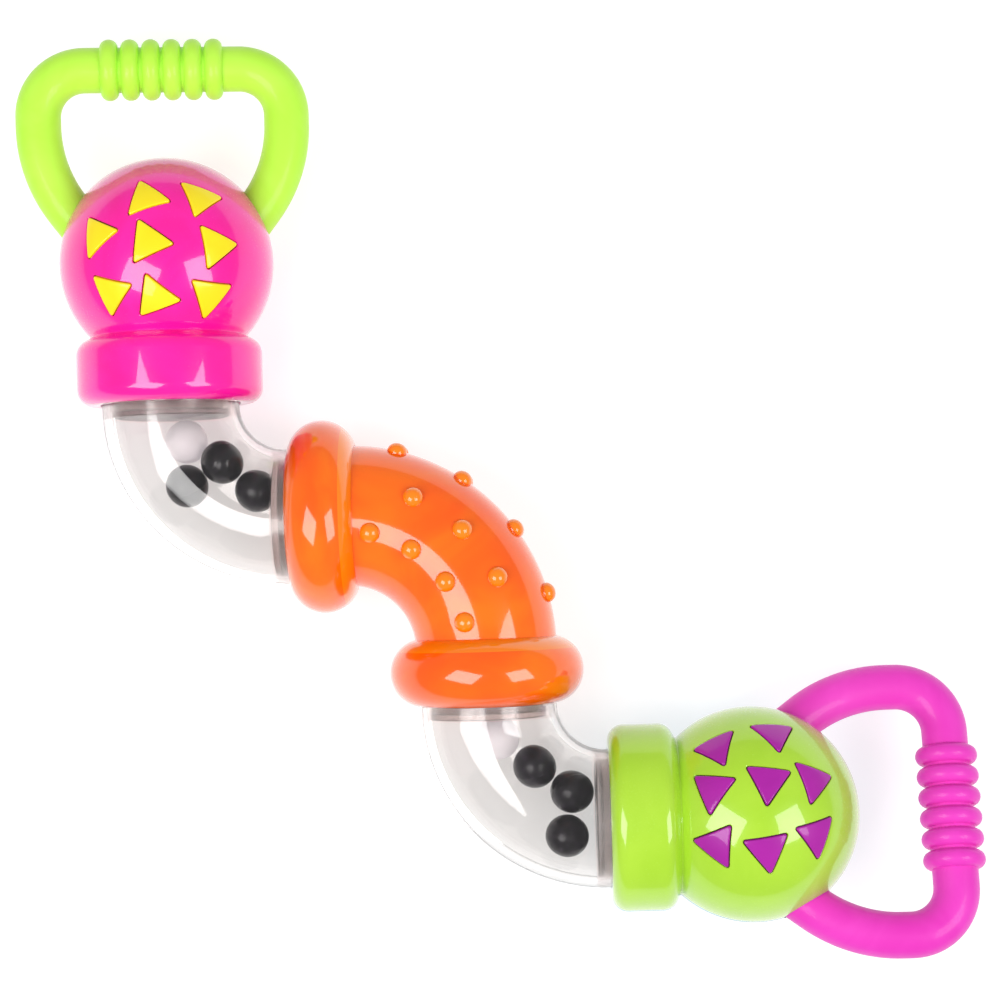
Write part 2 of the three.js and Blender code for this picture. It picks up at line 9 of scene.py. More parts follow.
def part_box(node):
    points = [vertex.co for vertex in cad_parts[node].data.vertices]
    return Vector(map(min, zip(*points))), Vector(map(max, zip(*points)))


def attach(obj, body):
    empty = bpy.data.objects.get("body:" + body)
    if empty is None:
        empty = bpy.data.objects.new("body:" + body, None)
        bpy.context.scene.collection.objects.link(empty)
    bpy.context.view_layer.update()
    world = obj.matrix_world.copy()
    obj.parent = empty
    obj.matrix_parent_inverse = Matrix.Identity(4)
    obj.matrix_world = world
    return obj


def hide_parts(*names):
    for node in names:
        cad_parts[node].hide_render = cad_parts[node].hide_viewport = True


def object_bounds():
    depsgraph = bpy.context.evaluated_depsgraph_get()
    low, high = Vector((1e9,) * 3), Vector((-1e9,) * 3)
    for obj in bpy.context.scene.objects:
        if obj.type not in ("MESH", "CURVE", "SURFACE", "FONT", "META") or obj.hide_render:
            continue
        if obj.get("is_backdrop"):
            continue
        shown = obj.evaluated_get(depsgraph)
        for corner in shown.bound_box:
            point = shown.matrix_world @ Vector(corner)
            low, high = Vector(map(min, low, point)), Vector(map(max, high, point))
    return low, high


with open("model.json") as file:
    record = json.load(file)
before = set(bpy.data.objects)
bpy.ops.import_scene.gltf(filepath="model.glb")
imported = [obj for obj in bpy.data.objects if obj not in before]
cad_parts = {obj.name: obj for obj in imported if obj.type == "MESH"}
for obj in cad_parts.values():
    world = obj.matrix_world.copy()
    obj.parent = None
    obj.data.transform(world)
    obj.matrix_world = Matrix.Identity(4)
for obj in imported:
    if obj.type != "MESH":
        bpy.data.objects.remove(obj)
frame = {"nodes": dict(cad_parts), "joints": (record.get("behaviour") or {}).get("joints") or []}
cad_low, cad_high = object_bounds()
MM = 0.001


# ---------------------------------------------------------------- the table
# The toy lies flat on a plain white table that glows a little, as a light
# table does, under two tilted square softboxes and a dim white room.

class Socket:
    """A socket of a material.  Arithmetic on it adds Math nodes, node() any other."""

    def __init__(self, tree, output=None):
        self.tree = tree
        self.output = output

    def node(self, kind, settings=None, inputs=None, output=0):
        made = self.tree.nodes.new(kind)
        for name, value in (settings or {}).items():
            if name == "stops":
                stops = made.color_ramp.elements
                while len(stops) < len(value):
                    stops.new(1.0)
                for stop, (position, colour) in zip(stops, value):
                    stop.position = position
                    stop.color = colour
            else:
                setattr(made, name, value)
        for name, value in (inputs or {}).items():
            if isinstance(value, Socket):
                self.tree.links.new(value.output, made.inputs[name])
            else:
                made.inputs[name].default_value = value
        return Socket(self.tree, made.outputs[output] if made.outputs else None)

    def math(self, operation, first, second=0.0):
        return self.node("ShaderNodeMath", {"operation": operation}, {0: first, 1: second})

    def __add__(self, other):
        return self.math("ADD", self, other)

    def __sub__(self, other):
        return self.math("SUBTRACT", self, other)

    def __rsub__(self, other):
        return self.math("SUBTRACT", other, self)

    def __mul__(self, other):
        return self.math("MULTIPLY", self, other)

    __radd__ = __add__
    __rmul__ = __mul__

    def between(self, low, high):
        """0 where the value is at most low, 1 where it is at least high."""
        return self.node("ShaderNodeMapRange", {"interpolation_type": "SMOOTHSTEP"},
                         {"Value": self, "From Min": low, "From Max": high})

    def mixed(self, first, second):
        """The first colour where the value is 0, the second where it is 1."""
        return self.node("ShaderNodeMix", {"data_type": "RGBA"},
                         {0: self, 6: first, 7: second}, output=2)


def colour_of(red, green, blue):
    """A colour as seen on a screen, 0 to 255, in the numbers that a shader takes."""
    linear = [(c / 255 / 12.92) if c < 10 else ((c / 255 + 0.055) / 1.055) ** 2.4
              for c in (red, green, blue)]
    return (*linear, 1.0)


def new_material(name):
    """A material with an empty tree, and a socket to start from."""
    material = bpy.data.materials.new(name)
    material.use_nodes = True
    material.node_tree.nodes.clear()
    return material, Socket(material.node_tree)


def finish_material(start, surface):
    start.node("ShaderNodeOutputMaterial", {}, {"Surface": surface})


def deselect():
    if bpy.context.mode != "OBJECT":
        bpy.ops.object.mode_set(mode="OBJECT")
    bpy.ops.object.select_all(action="DESELECT")


TABLE_WIDTH = 6.0
TABLE_GAP = 0.05
deselect()
bpy.ops.mesh.primitive_plane_add(
    size=TABLE_WIDTH, location=(0, 0, cad_low.z - TABLE_GAP * MM))
table = bpy.context.object
table.name = "table"
table_white, start = new_material("table_white")
sheen = start.node("ShaderNodeTexNoise", {}, {"Scale": 3.0, "Detail": 2.0})
finish_material(start, start.node("ShaderNodeBsdfPrincipled", {}, {
    "Base Color": sheen.mixed((0.42, 0.42, 0.42, 1), (0.46, 0.46, 0.46, 1)),
    "Roughness": 0.75,
    "Specular IOR Level": 0.2,
    "Emission Color": (1, 1, 1, 1),
    "Emission Strength": 0.72,
}))
table.data.materials.append(table_white)
table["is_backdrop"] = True

world = bpy.data.worlds.new("white_room")
world.use_nodes = True
world.node_tree.nodes["Background"].inputs["Color"].default_value = (1, 1, 1, 1)
world.node_tree.nodes["Background"].inputs["Strength"].default_value = 0.36
bpy.context.scene.world = world
bpy.context.scene.view_settings.view_transform = "Standard"


def softbox(name, place, width, length, turn, radiance):
    """A square light that faces the middle of the toy, turned about its own axis."""
    deselect()
    bpy.ops.object.light_add(type="AREA", location=place)
    lamp = bpy.context.object
    lamp.name = name
    lamp.data.shape = "RECTANGLE"
    lamp.data.size = width
    lamp.data.size_y = length
    lamp.data.energy = pi * width * length * radiance
    facing = Vector(place).to_track_quat("Z", "Y").to_matrix().to_4x4()
    spun_lamp = facing @ Matrix.Rotation(radians(turn), 4, "Z")
    lamp.matrix_world = Matrix.Translation(place) @ spun_lamp


softbox("softbox_left", (-0.290, -0.137, 0.590), 0.42, 0.36, 35, 6.0)
softbox("softbox_right", (0.650, -0.200, 0.800), 0.56, 0.50, 35, 5.6)

CAMERA_PLACE = Vector((10.9, -19.5, 627.1)) * MM
CAMERA_AIM = Vector((0.7, -1.6, 27.09)) * MM
CAMERA_ROLL = -1.8
CAMERA_LENS = 86.65
bpy.ops.object.camera_add(location=CAMERA_PLACE)
camera = bpy.context.object
camera.data.lens = CAMERA_LENS
camera.data.sensor_width = 36.0
look = (CAMERA_AIM - CAMERA_PLACE).normalized()
right = look.cross(Vector((0, 1, 0))).normalized()
up = right.cross(look)
camera.matrix_world = (
    Matrix.Translation(CAMERA_PLACE)
    @ Matrix((right, up, -look)).transposed().to_4x4()
    @ Matrix.Rotation(radians(CAMERA_ROLL), 4, "Z")
)
bpy.context.scene.camera = camera


# ---------------------------------------------------------- the ball shells
# Each head is two moulded half shells of glossy coloured plastic, glued at the
# plane of the toy: half a ball, half a neck and half a round-edged collar,
# with eight windows for the raised triangles and half of each handle hole.

BALL_R = 26.6
SHELL_WALL = 2.2
NECK_R = 19.3
COLLAR_R = 23.1
COLLAR_LENGTH = 17.0
COLLAR_FACE_ROUND = 4.0
COLLAR_BACK_ROUND = 4.0
SHOULDER_ANGLE = 62
BORE_R = 17.35
GROOVE_R = 19.65
GROOVE_FROM, GROOVE_TO = 3.0, 6.0
SOCKET_DEPTH = 8.0
SEAM_GAP = 0.04
SEAM_CHAMFER = 0.16
SHELL_EDGE = 0.45
NECK_AT = sqrt(BALL_R ** 2 - NECK_R ** 2)
BALL_TO_FACE = NECK_AT + COLLAR_LENGTH
BALL_INNER_R = BALL_R - SHELL_WALL

# How far each triangle leans from the front, which way, and its turn.
TRIANGLES = (
    (9, 146, 113), (25, 259, 111), (29, 6, 9), (32, 106, 105),
    (35, 316, 14), (37, 216, 26), (38, 56, 19), (39, 163, -1),
)
TRIANGLE_R = 6.3
TRIANGLE_ROUND = 0.5
WINDOW_GAP = 0.26
WINDOW_CHAMFER = 0.12
# The window's cutter starts below the wall and ends well above the ball.
WINDOW_BELOW = 1.2
WINDOW_ABOVE = 2.6
WINDOW_FLARE = 1.0

HANDLE_R = 5.65
LIMB_END = Vector((23.9, 14.0, 0.0))
LIMB_LEAN = 37.0
HANDLE_GAP = 0.3
HOLE_LENGTH = 26.0
HOLE_BACK = 6.0

# How near the middle plane a point of the seam lies, in mm.
ON_PLANE = 0.001


def arc(r, y, radius, first, last, steps, height_radius=None):
    """Points of an arc about (r, y), from one angle to another."""
    tall = radius if height_radius is None else height_radius
    turns = [radians(first + (last - first) * i / steps) for i in range(steps + 1)]
    return [(r + radius * cos(t), y + tall * sin(t)) for t in turns]


def softened(outline, reach, steps=3):
    """The same outline with its corners rounded, each from this far before it."""
    soft = [outline[0]]
    for before, corner, after in zip(outline, outline[1:], outline[2:]):
        a, b, c = Vector(before), Vector(corner), Vector(after)
        if (b - a).angle(c - b) < radians(20):
            soft.append(corner)
            continue
        near = min(reach, (b - a).length / 2.2, (c - b).length / 2.2)
        first = b + (a - b).normalized() * near
        last = b + (c - b).normalized() * near
        for i in range(steps + 1):
            t = i / steps
            soft.append(tuple(first * (1 - t) ** 2 + b * 2 * t * (1 - t) + last * t ** 2))
    return soft + [outline[-1]]


def fresh(name):
    """An empty mesh object at the origin, open for editing."""
    deselect()
    shape = bpy.data.objects.new(name, bpy.data.meshes.new(name))
    bpy.context.scene.collection.objects.link(shape)
    bpy.context.view_layer.objects.active = shape
    shape.select_set(True)
    bpy.ops.object.mode_set(mode="EDIT")
    bpy.ops.mesh.select_mode(type="VERT")
    return shape


def select_where(shape, kind, test):
    """Selects the vertices, edges or faces whose middle, in mm, passes a test."""
    bpy.ops.mesh.select_mode(type=kind)
    bpy.ops.mesh.select_all(action="DESELECT")
    mesh = bmesh.from_edit_mesh(shape.data)
    for part in {"VERT": mesh.verts, "EDGE": mesh.edges, "FACE": mesh.faces}[kind]:
        corners = [part] if kind == "VERT" else part.verts
        middle = sum((v.co for v in corners), Vector()) / len(corners) / MM
        if test(middle):
            part.select_set(True)
    bmesh.update_edit_mesh(shape.data)


def tidy_mesh():
    """Merges doubles and turns every face outwards."""
    bpy.ops.mesh.select_all(action="SELECT")
    bpy.ops.mesh.remove_doubles(threshold=0.004 * MM)
    bpy.ops.mesh.normals_make_consistent(inside=False)


def spun(name, outline, steps, turn=360.0, about="Y"):
    """Draws an outline of (radius, height) in mm point by point and spins it."""
    shape = fresh(name)
    lay = (lambda r, h: Vector((r, h, 0)) * MM) if about == "Y" else (
        lambda r, h: Vector((r, 0, h)) * MM)
    bpy.ops.mesh.primitive_plane_add(size=MM)
    bpy.ops.mesh.merge(type="CENTER")
    here = Vector()
    for i, point in enumerate(outline):
        there = lay(*point)
        if i == 0:
            bpy.ops.transform.translate(value=there)
        else:
            bpy.ops.mesh.extrude_region_move(
                TRANSFORM_OT_translate={"value": there - here})
        here = there
    bpy.ops.mesh.select_all(action="SELECT")
    bpy.ops.mesh.spin(steps=steps, angle=radians(turn), center=(0, 0, 0),
                      axis=(0, 1, 0) if about == "Y" else (0, 0, 1))
    tidy_mesh()
    return shape


def joined(name, shapes):
    deselect()
    for shape in shapes:
        shape.select_set(True)
    bpy.context.view_layer.objects.active = shapes[0]
    if len(shapes) > 1:
        bpy.ops.object.join()
    shapes[0].name = name
    return shapes[0]


def copied(shape, name, place):
    """A copy with its own mesh, put in its place, its object at the origin."""
    deselect()
    shape.select_set(True)
    bpy.context.view_layer.objects.active = shape
    bpy.ops.object.duplicate()
    copy = bpy.context.object
    copy.name = name
    copy.matrix_world = place
    bpy.ops.object.transform_apply(location=True, rotation=True, scale=True)
    return copy


def combined(shape, other, operation):
    """Cuts the other shape out of the first, or melts both together."""
    deselect()
    shape.select_set(True)
    bpy.context.view_layer.objects.active = shape
    modifier = shape.modifiers.new(operation.lower(), "BOOLEAN")
    modifier.operation = operation
    modifier.solver = "MANIFOLD"
    modifier.object = other
    bpy.ops.object.modifier_apply(modifier=modifier.name)
    bpy.data.objects.remove(other)
    return shape


def smoothed(shape, angle=32.0):
    deselect()
    shape.select_set(True)
    bpy.context.view_layer.objects.active = shape
    bpy.ops.object.shade_smooth_by_angle(angle=radians(angle))
    return shape


def triangle_frame(lean, bearing, turn):
    """Turns +Z to the triangle's place, its own X kept near the ball's X."""
    lean, bearing = radians(lean), radians(bearing)
    out = Vector((sin(lean) * cos(bearing), sin(lean) * sin(bearing), cos(lean)))
    across = (Vector((1, 0, 0)) - out * out.x).normalized()
    axes = Matrix((across, out.cross(across), out)).transposed()
    return axes.to_4x4() @ Matrix.Rotation(radians(turn), 4, "Z")


def triangle_post(name, grow, levels):
    """A rounded triangle drawn up through levels of (height, growth, cap), where
    height follows the ball's curve, and closed at both ends."""
    shape = fresh(name)
    bpy.ops.mesh.primitive_circle_add(
        vertices=3, radius=(TRIANGLE_R + 2 * grow) * MM, fill_type="NOTHING",
        rotation=(0, 0, -pi / 2))
    round_r = TRIANGLE_ROUND + grow
    bpy.ops.mesh.bevel(offset_type="OFFSET", offset=round_r / tan(radians(30)) * MM,
                       segments=5, affect="VERTICES")
    select_where(shape, "EDGE", lambda middle: middle.length < TRIANGLE_R / 2 + grow + 0.4)
    bpy.ops.mesh.subdivide(number_cuts=7)
    bpy.ops.mesh.select_all(action="SELECT")
    side = TRIANGLE_R / 2 + grow
    here, size = levels[0][0], 1.0
    bpy.ops.transform.translate(value=(0, 0, here * MM))
    for height, growth in levels[1:]:
        bpy.ops.mesh.extrude_region_move(
            TRANSFORM_OT_translate={"value": (0, 0, (height - here) * MM)})
        wanted = (side + growth) / side
        bpy.ops.transform.resize(value=(wanted / size, wanted / size, 1),
                                 center_override=(0, 0, height * MM))
        here, size = height, wanted
    bpy.ops.mesh.select_all(action="SELECT")
    bpy.ops.mesh.remove_doubles(threshold=0.002 * MM)
    bpy.ops.mesh.select_mode(type="EDGE")
    bpy.ops.mesh.select_all(action="DESELECT")
    bpy.ops.mesh.select_non_manifold()
    bpy.ops.mesh.edge_face_add()
    tidy_mesh()
    bpy.ops.object.mode_set(mode="OBJECT")
    for vertex in shape.data.vertices:
        x, y = vertex.co.x / MM, vertex.co.y / MM
        vertex.co.z += (sqrt(BALL_R ** 2 - x * x - y * y) - BALL_R) * MM
    return shape


def at_all_triangles(shape, post, operation):
    """Cuts the post out of a shape, or melts it on, at all eight triangles' places."""
    for i, triangle in enumerate(TRIANGLES):
        combined(shape, copied(post, f"{post.name}_{i}", triangle_frame(*triangle)), operation)
    bpy.data.objects.remove(post)
    return shape


def half_shell():
    """The front half of a head, in the head's own frame: ball at the origin,
    handle to +Y, front to +Z."""
    back, face = COLLAR_BACK_ROUND, COLLAR_FACE_ROUND
    tilt = radians(SHOULDER_ANGLE)
    slope = (COLLAR_R - back * (1 - cos(tilt)) - NECK_R) / tan(tilt)
    shoulder = -NECK_AT - slope - back * sin(tilt)
    passage_r = NECK_R - SHELL_WALL
    passage_at = sqrt(BALL_INNER_R ** 2 - passage_r ** 2)
    mouth = -BALL_TO_FACE
    outside = (
        arc(0, 0, BALL_R, 90, -degrees(atan2(NECK_AT, NECK_R)), 66)
        + arc(COLLAR_R - back, shoulder, back, SHOULDER_ANGLE, 0, 10)
        + arc(COLLAR_R - face, mouth + face, face, 0, -90, 12)
    )
    inside = [
        (BORE_R, mouth), (BORE_R, mouth + GROOVE_FROM), (GROOVE_R, mouth + GROOVE_FROM),
        (GROOVE_R, mouth + GROOVE_TO), (BORE_R, mouth + GROOVE_TO),
        (BORE_R, mouth + SOCKET_DEPTH), (passage_r, mouth + SOCKET_DEPTH),
    ] + arc(0, 0, BALL_INNER_R, -degrees(atan2(passage_at, passage_r)), 90, 40)
    outline = softened(outside + inside, SHELL_EDGE)
    outline[0] = (0.0, BALL_R)
    outline[-1] = (0.0, BALL_INNER_R)
    shell = spun("half_shell", outline, 80, turn=180.0)
    select_where(shell, "EDGE", lambda m: abs(m.z) < ON_PLANE)
    bpy.ops.mesh.edge_face_add()
    tidy_mesh()

    def on_seam(middle):
        radius = Vector((middle.x, middle.y, 0)).length
        at_ball = middle.y > -NECK_AT and radius > BALL_R - 0.4
        at_collar = middle.y <= -NECK_AT and abs(middle.x) > NECK_R - 0.3 and (
            middle.y > mouth + GROOVE_TO or abs(middle.x) > GROOVE_R + 0.3
            or middle.y < mouth + 0.2)
        return abs(middle.z) < ON_PLANE and (at_ball or at_collar)

    select_where(shell, "EDGE", on_seam)
    bpy.ops.mesh.bevel(offset=SEAM_CHAMFER * MM, segments=2, affect="EDGES")
    bpy.ops.mesh.select_all(action="SELECT")
    bpy.ops.transform.translate(value=(0, 0, SEAM_GAP * MM))
    bpy.ops.mesh.quads_convert_to_tris(quad_method="BEAUTY", ngon_method="BEAUTY")
    bpy.ops.object.mode_set(mode="OBJECT")

    at_all_triangles(shell, triangle_post("window", WINDOW_GAP, (
        (BALL_INNER_R - WINDOW_BELOW, 0.0), (BALL_R - WINDOW_CHAMFER, 0.0),
        (BALL_R, WINDOW_CHAMFER),
        (BALL_R + WINDOW_ABOVE, WINDOW_CHAMFER + WINDOW_FLARE))), "DIFFERENCE")
    for side in (-1, 1):
        hole = fresh("handle_hole")
        along = Vector((side * sin(radians(LIMB_LEAN)), cos(radians(LIMB_LEAN)), 0))
        middle = Vector((side * LIMB_END.x, LIMB_END.y, 0)) - along * HOLE_BACK
        bpy.ops.mesh.primitive_cylinder_add(
            vertices=64, radius=(HANDLE_R + HANDLE_GAP) * MM, depth=HOLE_LENGTH * MM,
            location=middle * MM, rotation=(pi / 2, 0, -side * radians(LIMB_LEAN)))
        bpy.ops.object.mode_set(mode="OBJECT")
        combined(shell, hole, "DIFFERENCE")
    return smoothed(shell)


def joint_point(name):
    joint = next(j for j in frame["joints"] if j["name"] == name)
    return Vector(joint["pos_m"])


# How far each head lies turned about its own swivel.
UPPER_LEAN = 6.6
LOWER_LEAN = -15.4
AXIS_HEIGHT = joint_point("upper_head_swivel").z
HEADS = {
    "upper": Matrix.Translation(joint_point("upper_head_swivel"))
    @ Matrix.Rotation(radians(UPPER_LEAN), 4, "Y"),
    "lower": Matrix.Translation(joint_point("lower_head_swivel"))
    @ Matrix.Rotation(radians(-90), 4, "Z")
    @ Matrix.Rotation(radians(LOWER_LEAN), 4, "Y"),
}
REAR = Matrix.Rotation(pi, 4, "Y")


def moulded_plastic(name, colour, deep, pale, roughness=0.22, coat=1.0, grain=0.012,
                    painted_glow=0.0):
    """Injection-moulded plastic: faint swirls of pigment, a dull bloom here and
    there, rub marks from play, a slightly uneven skin and, for white, a painted glow:
    the plastic lights itself a little, standing in for light let through."""
    material, start = new_material(name)
    place = start.node("ShaderNodeTexCoord", output="Object")
    swirl = start.node("ShaderNodeTexNoise", {}, {
        "Vector": place, "Scale": 42.0, "Detail": 3.0, "Roughness": 0.55, "Distortion": 1.4})
    bloom = start.node("ShaderNodeTexNoise", {}, {
        "Vector": place, "Scale": 17.0, "Detail": 2.0, "Roughness": 0.5})
    peel = start.node("ShaderNodeTexNoise", {}, {
        "Vector": place, "Scale": 520.0, "Detail": 2.0, "Roughness": 0.5})
    rubs = start.node("ShaderNodeTexNoise", {}, {
        "Vector": place, "Scale": 1500.0, "Detail": 3.0, "Roughness": 0.7})
    body = swirl.between(0.30, 0.72).mixed(deep, colour)
    body = (bloom.between(0.45, 0.85) * 0.30).mixed(body, pale)
    worn = rubs.between(0.56, 0.80) * 0.10 + bloom.between(0.35, 0.80) * 0.06
    bump = start.node("ShaderNodeBump", {}, {
        "Height": peel + rubs * 0.35, "Strength": 0.22, "Distance": grain * MM})
    finish_material(start, start.node("ShaderNodeBsdfPrincipled", {}, {
        "Base Color": body,
        "Roughness": worn + roughness,
        "Normal": bump,
        "IOR": 1.5,
        "Specular IOR Level": 0.2,
        "Coat Weight": coat,
        "Coat Roughness": 0.05,
        "Emission Color": body,
        # Painted glow: the plastic lights itself in its own colour, standing in for light let
        # through it.
        "Emission Strength": painted_glow,
    }))
    return material


def finished(piece, material, body, slot, *nodes):
    """Gives a piece its material and ties it to the frame."""
    piece.data.materials.clear()
    piece.data.materials.append(material)
    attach(piece, body)
    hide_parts(*nodes)


pink = moulded_plastic("pink_plastic", colour_of(255, 26, 168), colour_of(252, 14, 154),
                       colour_of(255, 48, 176))
lime = moulded_plastic("lime_plastic", colour_of(174, 220, 54), colour_of(166, 214, 44),
                       colour_of(188, 226, 80))
teal = moulded_plastic("teal_plastic", colour_of(72, 178, 196), colour_of(52, 160, 182),
                       colour_of(110, 196, 208))
SHELL_FINISH = {
    ("upper", "front"): (pink, "pink_plastic"),
    ("upper", "rear"): (pink, "pink_plastic"),
    ("lower", "front"): (lime, "lime_plastic"),
    ("lower", "rear"): (teal, "teal_plastic"),
}

shell = half_shell()
for (head, side), (material, slot) in SHELL_FINISH.items():
    turned_side = HEADS[head] if side == "front" else HEADS[head] @ REAR
    piece = copied(shell, f"{head}_{side}_half_ball", turned_side)
    finished(piece, material, f"{head}_head", slot, f"{head}_{side}_shell")
bpy.data.objects.remove(shell)


# --------------------------------------------------- the raised triangles
# Behind each half shell sits a domed plate of satin plastic in a second colour,
# glued to the shell.  Its eight triangular studs stand in the windows, a little
# above the ball, with soft edges and a fine dark gap all round.

PLATE_GAP = 0.9
PLATE_WALL = 1.5
PLATE_SPREAD = 50.0
STUD_PROUD = 0.3
STUD_EDGE = 0.32
PLATE_EDGE = 0.3


def triangle_plate():
    outer = BALL_INNER_R - PLATE_GAP
    inner = outer - PLATE_WALL
    rim = 90 - PLATE_SPREAD
    outline = softened(arc(0, 0, outer, 90, rim, 20) + arc(0, 0, inner, rim, 90, 20),
                       PLATE_EDGE)
    outline[0] = (0.0, outer)
    outline[-1] = (0.0, inner)
    plate = spun("plate", outline, 64, about="Z")
    bpy.ops.object.mode_set(mode="OBJECT")
    top = BALL_R + STUD_PROUD
    edge = [(top - STUD_EDGE * (1 - sin(radians(a))), -STUD_EDGE * (1 - cos(radians(a))))
            for a in (0, 18, 36, 54, 72, 90)]
    side = TRIANGLE_R / 2
    inwards = [(top, -side * share) for share in (0.30, 0.45, 0.60, 0.75, 0.88)]
    stud = triangle_post("stud", 0.0, [(outer - PLATE_WALL / 2, 0.0)] + edge + inwards)
    return smoothed(at_all_triangles(plate, stud, "UNION"), 40.0)


yellow = moulded_plastic("yellow_plastic", colour_of(255, 232, 30), colour_of(255, 224, 20),
                         colour_of(255, 236, 60), roughness=0.30, coat=0.5)
purple = moulded_plastic("purple_plastic", colour_of(172, 30, 162), colour_of(160, 22, 152),
                         colour_of(182, 52, 172), roughness=0.30, coat=0.5)
plate = triangle_plate()
for head, material, slot in (
    ("upper", yellow, "yellow_plastic"), ("lower", purple, "purple_plastic"),
):
    for side in ("front", "rear"):
        turned_side = HEADS[head] if side == "front" else HEADS[head] @ REAR
        piece = copied(plate, f"{head}_{side}_triangle_plate", turned_side)
        finished(piece, material, f"{head}_head", slot, f"{head}_{side}_triangles")
bpy.data.objects.remove(plate)


# ------------------------------------------------------------- the handles
# One solid moulded loop of satin plastic for each head: a ribbed bar, two round
# corners, and limbs that bend in and enter the ball, each with a flange inside.

HANDLE_REACH = 49.2
HANDLE_SPAN = 30.9
HANDLE_CORNER_R = 11.7
HANDLE_DROP = 2.4
LIMB_BEND_R = 35.0
LIMB_STRAIGHT = 17.0
FLANGE_R = 7.0
FLANGE_THICK = 1.8
FLANGE_EDGE = 0.4
FLANGE_END = 0.5
FLANGE_STEP = 0.01
RIBS = 6
RIB_PITCH = 5.2
RIB_HEIGHT = 2.0
RIB_LAND = 0.35
HANDLE_SIDES = 40


class Drawn:
    """A tube drawn out in the XY plane from a circle, its open end selected."""

    def __init__(self, name, radius, sides, place, heading):
        self.shape = fresh(name)
        self.place = Vector((*place, 0.0))
        self.heading = heading
        self.radius = radius
        bpy.ops.mesh.primitive_circle_add(
            vertices=sides, radius=radius * MM, location=self.place * MM,
            rotation=(0, pi / 2, radians(heading)))

    def along(self):
        return Vector((cos(radians(self.heading)), sin(radians(self.heading)), 0))

    def straight(self, length, radius=None):
        """On by a length, and to a new radius if one is given."""
        bpy.ops.mesh.extrude_region_move(
            TRANSFORM_OT_translate={"value": self.along() * length * MM})
        self.place = self.place + self.along() * length
        if radius is not None:
            size = radius / self.radius
            bpy.ops.transform.resize(value=(size,) * 3, center_override=self.place * MM)
            self.radius = radius

    def bend(self, radius, turn, steps):
        """Round to the left for a positive turn, to the right for a negative one."""
        side = 1 if turn > 0 else -1
        left = Vector((-self.along().y, self.along().x, 0))
        centre = self.place + left * side * radius
        bpy.ops.mesh.spin(steps=steps, angle=-radians(turn), center=centre * MM,
                          axis=(0, 0, 1))
        turned = Matrix.Rotation(radians(turn), 3, "Z")
        self.place = centre + turned @ (self.place - centre)
        self.heading += turn

    def closed(self, bridge=False):
        """Caps both ends, or joins them where the tube has come back."""
        bpy.ops.mesh.select_all(action="SELECT")
        bpy.ops.mesh.remove_doubles(threshold=0.002 * MM)
        bpy.ops.mesh.select_mode(type="EDGE")
        bpy.ops.mesh.select_all(action="DESELECT")
        bpy.ops.mesh.select_non_manifold()
        if bridge:
            bpy.ops.mesh.bridge_edge_loops()
        else:
            bpy.ops.mesh.edge_face_add()
        tidy_mesh()
        bpy.ops.object.mode_set(mode="OBJECT")
        return self.shape


def handle_loop():
    along = Vector((sin(radians(LIMB_LEAN)), cos(radians(LIMB_LEAN)), 0))
    foot = Vector((-LIMB_END.x, LIMB_END.y, 0)) + Vector((along.x, -along.y, 0)) * LIMB_STRAIGHT
    limb = LIMB_STRAIGHT - FLANGE_THICK - FLANGE_STEP
    loop = Drawn("handle_loop", FLANGE_R - FLANGE_END, HANDLE_SIDES, foot.xy, 90 + LIMB_LEAN)
    loop.straight(FLANGE_EDGE, FLANGE_R)
    loop.straight(FLANGE_THICK - 2 * FLANGE_EDGE)
    loop.straight(FLANGE_EDGE, FLANGE_R - FLANGE_EDGE)
    loop.straight(FLANGE_STEP, HANDLE_R)
    loop.straight(limb)
    loop.bend(LIMB_BEND_R, -LIMB_LEAN, 16)
    loop.straight(HANDLE_DROP)
    loop.bend(HANDLE_CORNER_R, -90, 24)
    ribbed = RIBS * RIB_PITCH
    loop.straight(HANDLE_SPAN - HANDLE_CORNER_R - ribbed / 2)
    half_rib = RIB_PITCH / 2 - RIB_LAND
    for _ in range(RIBS):
        loop.straight(RIB_LAND)
        at = 0.0
        for angle in range(20, 180, 20):
            reach = half_rib * (1 - cos(radians(angle)))
            loop.straight(reach - at, HANDLE_R + RIB_HEIGHT * sin(radians(angle)))
            at = reach
        loop.straight(2 * half_rib - at, HANDLE_R)
        loop.straight(RIB_LAND)
    loop.straight(HANDLE_SPAN - HANDLE_CORNER_R - ribbed / 2)
    loop.bend(HANDLE_CORNER_R, -90, 24)
    loop.straight(HANDLE_DROP)
    loop.bend(LIMB_BEND_R, -LIMB_LEAN, 16)
    loop.straight(limb)
    loop.straight(FLANGE_STEP, FLANGE_R - FLANGE_EDGE)
    loop.straight(FLANGE_EDGE, FLANGE_R)
    loop.straight(FLANGE_THICK - 2 * FLANGE_EDGE)
    loop.straight(FLANGE_EDGE, FLANGE_R - FLANGE_END)
    return smoothed(loop.closed(), 50.0)


green = moulded_plastic("green_handle_plastic", colour_of(196, 252, 84),
                        colour_of(188, 248, 72), colour_of(206, 254, 108),
                        roughness=0.38, coat=0.15, grain=0.03)
magenta = moulded_plastic("magenta_handle_plastic", colour_of(236, 66, 196),
                          colour_of(228, 54, 186), colour_of(242, 92, 206),
                          roughness=0.38, coat=0.15, grain=0.03)
loop = handle_loop()
for head, material, slot in (
    ("upper", green, "green_handle_plastic"), ("lower", magenta, "magenta_handle_plastic"),
):
    piece = copied(loop, f"{head}_ribbed_handle", HEADS[head])
    finished(piece, material, f"{head}_head", slot, f"{head}_handle")
bpy.data.objects.remove(loop)


# -------------------------------------------------------- the clear elbows
# Crystal-clear moulded tubes, each glued from a front and a rear half along the
# middle of the bend, with a rim at each end that turns in its socket's groove.

